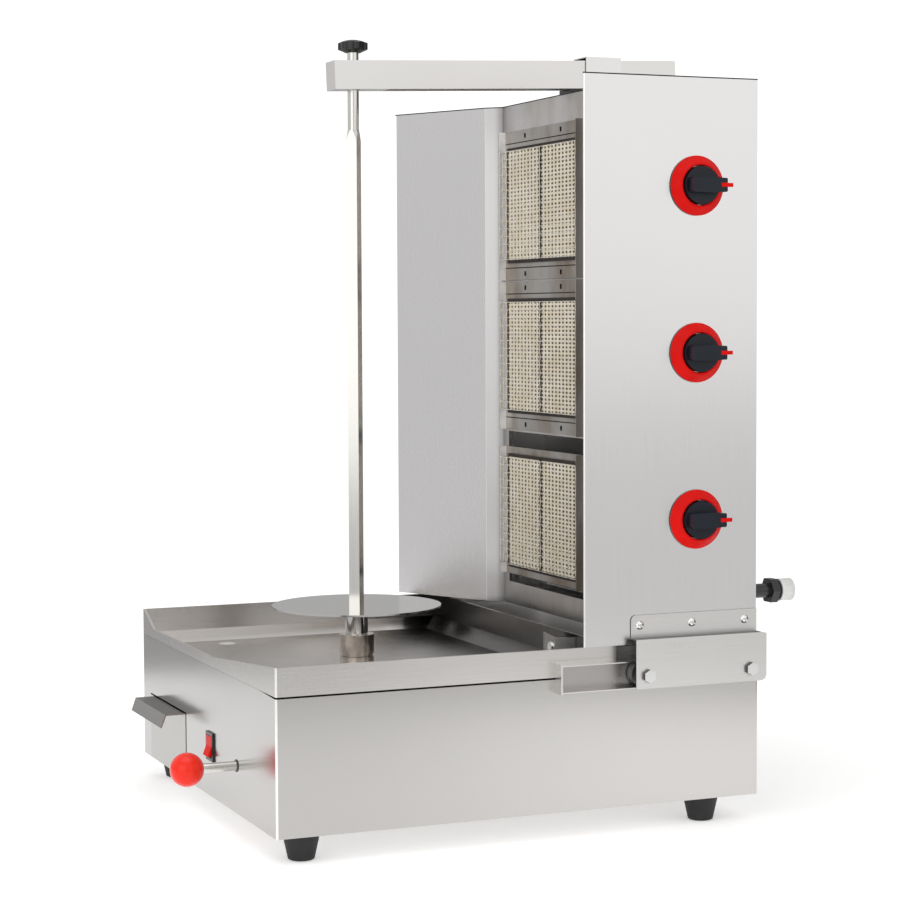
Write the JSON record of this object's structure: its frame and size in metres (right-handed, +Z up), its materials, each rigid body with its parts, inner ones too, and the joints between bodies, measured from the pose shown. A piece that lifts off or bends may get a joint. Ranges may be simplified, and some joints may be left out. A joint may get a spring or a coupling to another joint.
{
  "type": "rotisserie oven",
  "caption": "Vertical gas spit grill: a square spit with a meat disc turns over a drip tray, beside a sliding tower of infrared burners with side knobs and a top steadying arm.",
  "frame": {"origin": "middle of the whole object's footprint, on the table under the feet", "axes": "+X to the side with the gas knobs, +Y to the back where the gas inlet is, +Z up along the spit"},
  "size_m": [0.5922, 0.6838, 0.8804],
  "materials": {
    "stainless_satin": "satin stainless sheet with a fine vertical or horizontal grain",
    "stainless_tray": "bright stainless sheet, nearly mirror-like on the floor",
    "black_rubber": "matt black rubber",
    "screw_steel": "bright stainless fastener",
    "zinc_steel": "zinc-plated sheet",
    "motor_paint": "dark grey enamel",
    "cast_housing": "machined cast iron",
    "turned_steel": "turned steel with fine turning rings",
    "polished_steel": "smooth polished stainless",
    "black_plastic": "semi-gloss black plastic",
    "red_plastic": "glossy red plastic",
    "heated_steel": "stainless sheet, slightly darkened",
    "burner_steel": "formed sheet steel, dull",
    "ceramic": "perforated cream ceramic plate, matt",
    "guard_wire": "woven stainless wire, dull",
    "gas_pipe": "black enamelled steel pipe",
    "valve_brass": "plain brass",
    "roller_steel": "turned steel roller",
    "knob_plastic": "blue-black plastic knob",
    "cap_plastic": "milky plastic cap"
  },
  "bodies": {
    "base": {"base_casing": "stainless_satin", "bottom_plate": "stainless_satin", "feet": "black_rubber", "rear_deck": "stainless_satin", "drip_tray": "stainless_tray", "tray_stop": "stainless_satin", "tray_stop_screw": "screw_steel", "drawer_runners": "zinc_steel", "rail_right": "stainless_satin", "rail_left": "stainless_satin", "motor_bracket": "zinc_steel", "gearmotor": "motor_paint", "bearing_housing": "cast_housing", "hub_seal": "turned_steel", "switch_bezel": "black_plastic", "rod_bush": "black_plastic", "cable_gland": "black_plastic"},
    "hub": {"drive_hub": "turned_steel", "motor_shaft": "turned_steel"},
    "spit": {"spit_bar": "polished_steel", "meat_disc": "polished_steel", "top_knob": "black_plastic"},
    "drawer": {"drawer_box": "stainless_satin", "drawer_front": "stainless_satin"},
    "rocker": {"switch_rocker": "red_plastic"},
    "tower": {"tower_side_right": "stainless_satin", "tower_side_left": "stainless_satin", "tower_top": "stainless_satin", "tower_bottom": "stainless_satin", "tower_back": "stainless_satin", "burner_panel": "heated_steel", "burner_1": "burner_steel", "burner_2": "burner_steel", "burner_3": "burner_steel", "ceramic_tiles": "ceramic", "wire_guards": "guard_wire", "gas_manifold": "gas_pipe", "gas_valves": "valve_brass", "gas_injectors": "valve_brass", "knob_bezels": "red_plastic", "side_bracket_right": "stainless_satin", "side_bracket_left": "stainless_satin", "bracket_screws": "screw_steel", "roller_bolts": "screw_steel", "arm_bracket": "stainless_satin", "arm_slide_block": "black_plastic", "push_rod": "polished_steel", "rod_ball": "red_plastic"},
    "arm": {"arm": "stainless_satin"},
    "gas_cap": {"gas_cap": "cap_plastic"},
    "roller_right_front": {"roller_right_front": "roller_steel"},
    "roller_right_rear": {"roller_right_rear": "roller_steel"},
    "roller_left_front": {"roller_left_front": "roller_steel"},
    "roller_left_rear": {"roller_left_rear": "roller_steel"},
    "valve_1": {"valve_spindle_1": "valve_brass"},
    "knob_1": {"knob_1": "knob_plastic"},
    "valve_2": {"valve_spindle_2": "valve_brass"},
    "knob_2": {"knob_2": "knob_plastic"},
    "valve_3": {"valve_spindle_3": "valve_brass"},
    "knob_3": {"knob_3": "knob_plastic"}
  },
  "joints": [
    {"name": "tower_slide", "type": "slide", "parent": "base", "child": "tower", "axis": [0, 1, 0], "range_m": [-0.08, 0]},
    {"name": "arm_slide", "type": "slide", "parent": "tower", "child": "arm", "axis": [0, 0.9993, 0.0366], "range_m": [0, 0.08]},
    {"name": "spit_spin", "type": "hinge", "parent": "base", "child": "hub", "pos_m": [-0.00385, -0.08315, 0.17], "axis": [0, 0, 1], "continuous": true},
    {"name": "spit_lift", "type": "slide", "parent": "hub", "child": "spit", "axis": [0, 0, 1], "range_m": [0, 0.036]},
    {"name": "drawer_slide", "type": "slide", "parent": "base", "child": "drawer", "axis": [0, -1, 0], "range_m": [0, 0.25]},
    {"name": "rocker_tilt", "type": "hinge", "parent": "base", "child": "rocker", "pos_m": [0.02315, -0.26815, 0.085], "axis": [1, 0, 0], "range_deg": [0, 22]},
    {"name": "gas_cap_pull", "type": "slide", "parent": "tower", "child": "gas_cap", "axis": [0, 1, 0], "range_m": [0, 0.015]},
    {"name": "roller_right_front_turn", "type": "hinge", "parent": "tower", "child": "roller_right_front", "pos_m": [0.26465, 0.14685, 0.175], "axis": [1, 0, 0], "range_deg": [0, 345]},
    {"name": "roller_right_rear_turn", "type": "hinge", "parent": "tower", "child": "roller_right_rear", "pos_m": [0.26465, 0.27385, 0.175], "axis": [1, 0, 0], "range_deg": [0, 345]},
    {"name": "roller_left_front_turn", "type": "hinge", "parent": "tower", "child": "roller_left_front", "pos_m": [-0.27235, 0.14685, 0.175], "axis": [1, 0, 0], "range_deg": [0, 345]},
    {"name": "roller_left_rear_turn", "type": "hinge", "parent": "tower", "child": "roller_left_rear", "pos_m": [-0.27235, 0.27385, 0.175], "axis": [1, 0, 0], "range_deg": [0, 345]},
    {"name": "knob_1_push", "type": "slide", "parent": "tower", "child": "valve_1", "axis": [-1, 0, 0], "range_m": [0, 0.003], "stiffness_N_per_m": 1500},
    {"name": "knob_1_turn", "type": "hinge", "parent": "valve_1", "child": "knob_1", "pos_m": [0.27015, 0.21185, 0.342], "axis": [1, 0, 0], "range_deg": [0, 180]},
    {"name": "knob_2_push", "type": "slide", "parent": "tower", "child": "valve_2", "axis": [-1, 0, 0], "range_m": [0, 0.003], "stiffness_N_per_m": 1500},
    {"name": "knob_2_turn", "type": "hinge", "parent": "valve_2", "child": "knob_2", "pos_m": [0.27015, 0.21185, 0.524], "axis": [1, 0, 0], "range_deg": [0, 180]},
    {"name": "knob_3_push", "type": "slide", "parent": "tower", "child": "valve_3", "axis": [-1, 0, 0], "range_m": [0, 0.003], "stiffness_N_per_m": 1500},
    {"name": "knob_3_turn", "type": "hinge", "parent": "valve_3", "child": "knob_3", "pos_m": [0.27015, 0.21185, 0.705], "axis": [1, 0, 0], "range_deg": [0, 180]}
  ],
  "couplings": [
    {"joint": "arm_slide", "follows": "tower_slide", "ratio": -1},
    {"joint": "roller_right_front_turn", "follows": "tower_slide", "rad_per_m": -74.074},
    {"joint": "roller_right_rear_turn", "follows": "tower_slide", "rad_per_m": -74.074},
    {"joint": "roller_left_front_turn", "follows": "tower_slide", "rad_per_m": -74.074},
    {"joint": "roller_left_rear_turn", "follows": "tower_slide", "rad_per_m": -74.074}
  ]
}
